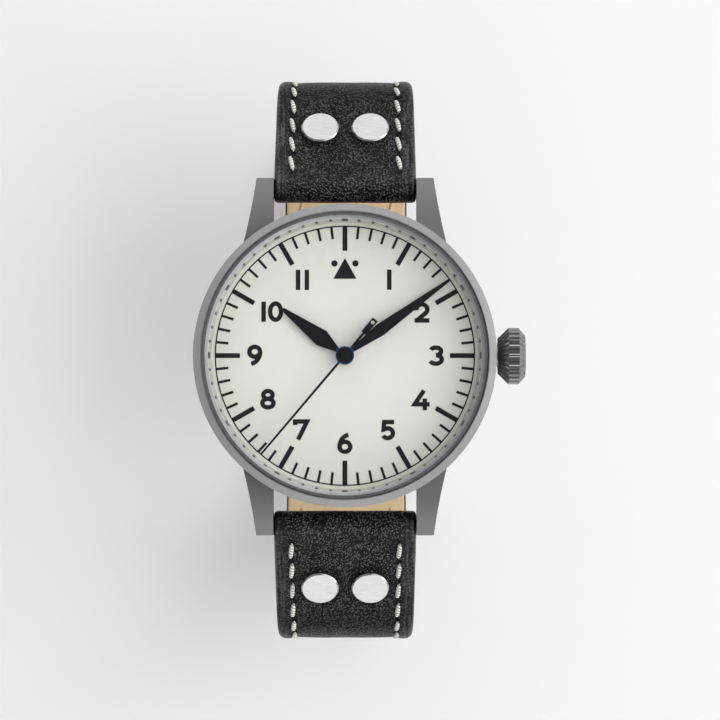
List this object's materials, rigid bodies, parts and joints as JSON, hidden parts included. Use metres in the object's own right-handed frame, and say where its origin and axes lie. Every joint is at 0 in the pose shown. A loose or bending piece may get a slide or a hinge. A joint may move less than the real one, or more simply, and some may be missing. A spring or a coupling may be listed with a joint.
{
  "type": "pilot watch",
  "caption": "Round steel pilot watch with a cream dial, black hands, fluted crown and riveted black leather strap laid open.",
  "frame": {"origin": "centre of the case back's flat outer face", "axes": "+Z out of the dial, +Y to twelve o'clock, +X to the crown"},
  "size_m": [0.0461, 0.0812, 0.0584],
  "materials": {
    "steel_blasted": "matte, fine bead-blasted",
    "steel_polished": "polished",
    "steel_brushed": "fine brushed",
    "sapphire": "clear, slightly domed",
    "seal_rubber": "matte",
    "dial_cream": "matte cream",
    "print_black": "matte print",
    "hand_black": "satin, dark blued",
    "plated_bridge": "plated, fine grained",
    "wheel_brass": "gilt, satin",
    "movement_steel": "polished",
    "hairspring_blue": "blued",
    "jewel_red": "polished",
    "holder_plastic": "satin",
    "leather_black": "fine pebble grain, semi-matte",
    "leather_tan": "smooth lining"
  },
  "bodies": {
    "case": {"case_body": "steel_blasted", "bezel": "steel_blasted", "crystal": "sapphire", "crystal_gasket": "seal_rubber", "rehaut_ring": "steel_polished", "dial": "dial_cream", "dial_track": "print_black", "case_back": "steel_blasted", "case_back_gasket": "seal_rubber", "crown_tube": "steel_brushed", "movement_ring": "holder_plastic", "casing_clamps": "movement_steel", "main_plate": "plated_bridge", "train_bridge": "plated_bridge", "barrel_bridge": "plated_bridge", "balance_cock": "plated_bridge", "bridge_screws": "movement_steel", "jewels": "jewel_red", "hairspring": "hairspring_blue", "rotor_bearing": "plated_bridge"},
    "winding_pinion": {"winding_pinion": "movement_steel"},
    "crown": {"crown": "steel_brushed", "crown_gasket": "seal_rubber", "winding_stem": "movement_steel"},
    "sliding_pinion": {"sliding_pinion": "movement_steel"},
    "crown_wheel": {"crown_wheel": "movement_steel"},
    "ratchet": {"ratchet_wheel": "movement_steel", "barrel_arbor": "movement_steel"},
    "click": {"click": "movement_steel"},
    "barrel": {"mainspring_barrel": "wheel_brass"},
    "intermediate": {"intermediate_wheel": "wheel_brass"},
    "third": {"third_wheel": "wheel_brass"},
    "seconds": {"seconds_wheel": "wheel_brass", "second_hand": "hand_black"},
    "escape": {"escape_wheel": "movement_steel"},
    "pallets": {"pallet_fork": "movement_steel"},
    "balance": {"balance_wheel": "wheel_brass"},
    "minutes": {"cannon_pinion": "movement_steel", "minute_hand": "hand_black"},
    "minute_work": {"minute_wheel": "wheel_brass"},
    "hours": {"hour_wheel": "wheel_brass", "hour_hand": "hand_black"},
    "rotor": {"rotor": "plated_bridge"},
    "strap_upper": {"strap_upper": "leather_black", "strap_upper_lining": "leather_tan", "rivets_upper": "steel_polished", "spring_bar_upper": "steel_brushed", "keeper_fixed": "leather_black"},
    "strap_lower": {"strap_lower": "leather_black", "strap_lower_lining": "leather_tan", "rivets_lower": "steel_polished", "spring_bar_lower": "steel_brushed"},
    "buckle": {"buckle_frame": "steel_polished", "buckle_bar": "steel_polished"},
    "tang": {"buckle_tang": "steel_polished"},
    "keeper": {"keeper_sliding": "leather_black"},
    "pin_upper_right": {"spring_pin_upper_right": "steel_brushed"},
    "pin_upper_left": {"spring_pin_upper_left": "steel_brushed"},
    "pin_lower_right": {"spring_pin_lower_right": "steel_brushed"},
    "pin_lower_left": {"spring_pin_lower_left": "steel_brushed"}
  },
  "joints": [
    {"name": "crown_turn", "type": "hinge", "parent": "case", "child": "winding_pinion", "pos_m": [0.019, 0, 0.0049], "axis": [1, 0, 0], "continuous": true},
    {"name": "crown_pull", "type": "slide", "parent": "winding_pinion", "child": "crown", "axis": [1, 0, 0], "range_m": [0, 0.0012]},
    {"name": "sliding_pinion_shift", "type": "slide", "parent": "winding_pinion", "child": "sliding_pinion", "axis": [1, 0, 0], "range_m": [-0.00096, 0]},
    {"name": "crown_wheel_turn", "type": "hinge", "parent": "case", "child": "crown_wheel", "pos_m": [0.00898, 0.0007, 0.0028], "axis": [0, 0, 1], "continuous": true},
    {"name": "ratchet_turn", "type": "hinge", "parent": "case", "child": "ratchet", "pos_m": [0.00436, 0.00623, 0.0028], "axis": [0, 0, 1], "continuous": true},
    {"name": "click_rock", "type": "hinge", "parent": "case", "child": "click", "pos_m": [-0.00057, 0.00852, 0.0028], "axis": [0, 0, -1], "range_deg": [0, 10], "stiffness_Nm_per_rad": 0.00002},
    {"name": "second_hand_turn", "type": "hinge", "parent": "case", "child": "seconds", "pos_m": [0, 0, 0.005], "axis": [0, 0, 1], "continuous": true},
    {"name": "third_turn", "type": "hinge", "parent": "case", "child": "third", "pos_m": [-0.00312, 0.00136, 0.0045], "axis": [0, 0, 1], "continuous": true},
    {"name": "intermediate_turn", "type": "hinge", "parent": "case", "child": "intermediate", "pos_m": [-0.00124, 0.00443, 0.0045], "axis": [0, 0, 1], "continuous": true},
    {"name": "barrel_turn", "type": "hinge", "parent": "case", "child": "barrel", "pos_m": [0.00436, 0.00623, 0.0048], "axis": [0, 0, 1], "continuous": true},
    {"name": "escape_turn", "type": "hinge", "parent": "case", "child": "escape", "pos_m": [-0.00157, -0.00224, 0.0043], "axis": [0, 0, 1], "continuous": true},
    {"name": "pallet_rock", "type": "hinge", "parent": "case", "child": "pallets", "pos_m": [-0.00069, -0.00463, 0.0043], "axis": [0, 0, 1], "range_deg": [-1.5, 1.5]},
    {"name": "balance_swing", "type": "hinge", "parent": "case", "child": "balance", "pos_m": [0.00054, -0.00802, 0.0039], "axis": [0, 0, 1], "range_deg": [-270, 270], "stiffness_Nm_per_rad": 0.0000008},
    {"name": "minute_hand_turn", "type": "hinge", "parent": "case", "child": "minutes", "pos_m": [0, 0, 0.008], "axis": [0, 0, 1], "continuous": true},
    {"name": "minute_wheel_turn", "type": "hinge", "parent": "case", "child": "minute_work", "pos_m": [0.0023, -0.00193, 0.0062], "axis": [0, 0, 1], "continuous": true},
    {"name": "hour_hand_turn", "type": "hinge", "parent": "case", "child": "hours", "pos_m": [0, 0, 0.007], "axis": [0, 0, 1], "continuous": true},
    {"name": "rotor_swing", "type": "hinge", "parent": "case", "child": "rotor", "pos_m": [0, 0, 0.002], "axis": [0, 0, 1], "continuous": true},
    {"name": "strap_upper_swing", "type": "hinge", "parent": "case", "child": "strap_upper", "pos_m": [0, 0.0232, 0.0026], "axis": [-1, 0, 0], "range_deg": [0, 35]},
    {"name": "strap_lower_swing", "type": "hinge", "parent": "case", "child": "strap_lower", "pos_m": [0, -0.0232, 0.0026], "axis": [-1, 0, 0], "range_deg": [0, 55]},
    {"name": "buckle_swing", "type": "hinge", "parent": "strap_upper", "child": "buckle", "pos_m": [0, -0.001, -0.0289], "axis": [1, 0, 0], "range_deg": [-20, 45]},
    {"name": "tang_swing", "type": "hinge", "parent": "buckle", "child": "tang", "pos_m": [0, -0.001, -0.0289], "axis": [1, 0, 0], "range_deg": [0, 75]},
    {"name": "keeper_slide", "type": "slide", "parent": "strap_upper", "child": "keeper", "axis": [0, 1, 0], "range_m": [0, 0.005]},
    {"name": "spring_pin_upper_right_press", "type": "slide", "parent": "strap_upper", "child": "pin_upper_right", "axis": [-1, 0, 0], "range_m": [0, 0.001], "stiffness_N_per_m": 400},
    {"name": "spring_pin_upper_left_press", "type": "slide", "parent": "strap_upper", "child": "pin_upper_left", "axis": [1, 0, 0], "range_m": [0, 0.001], "stiffness_N_per_m": 400},
    {"name": "spring_pin_lower_right_press", "type": "slide", "parent": "strap_lower", "child": "pin_lower_right", "axis": [-1, 0, 0], "range_m": [0, 0.001], "stiffness_N_per_m": 400},
    {"name": "spring_pin_lower_left_press", "type": "slide", "parent": "strap_lower", "child": "pin_lower_left", "axis": [1, 0, 0], "range_m": [0, 0.001], "stiffness_N_per_m": 400}
  ],
  "couplings": [
    {"joint": "sliding_pinion_shift", "follows": "crown_pull", "ratio": -0.8},
    {"joint": "crown_wheel_turn", "follows": "crown_turn", "ratio": -0.57143},
    {"joint": "ratchet_turn", "follows": "crown_turn", "ratio": 0.36364},
    {"joint": "third_turn", "follows": "second_hand_turn", "ratio": -0.13333},
    {"joint": "intermediate_turn", "follows": "second_hand_turn", "ratio": 0.016667},
    {"joint": "barrel_turn", "follows": "second_hand_turn", "ratio": -0.0027778},
    {"joint": "escape_turn", "follows": "second_hand_turn", "ratio": -12},
    {"joint": "minute_wheel_turn", "follows": "minute_hand_turn", "ratio": -0.33333},
    {"joint": "hour_hand_turn", "follows": "minute_hand_turn", "ratio": 0.083333}
  ]
}
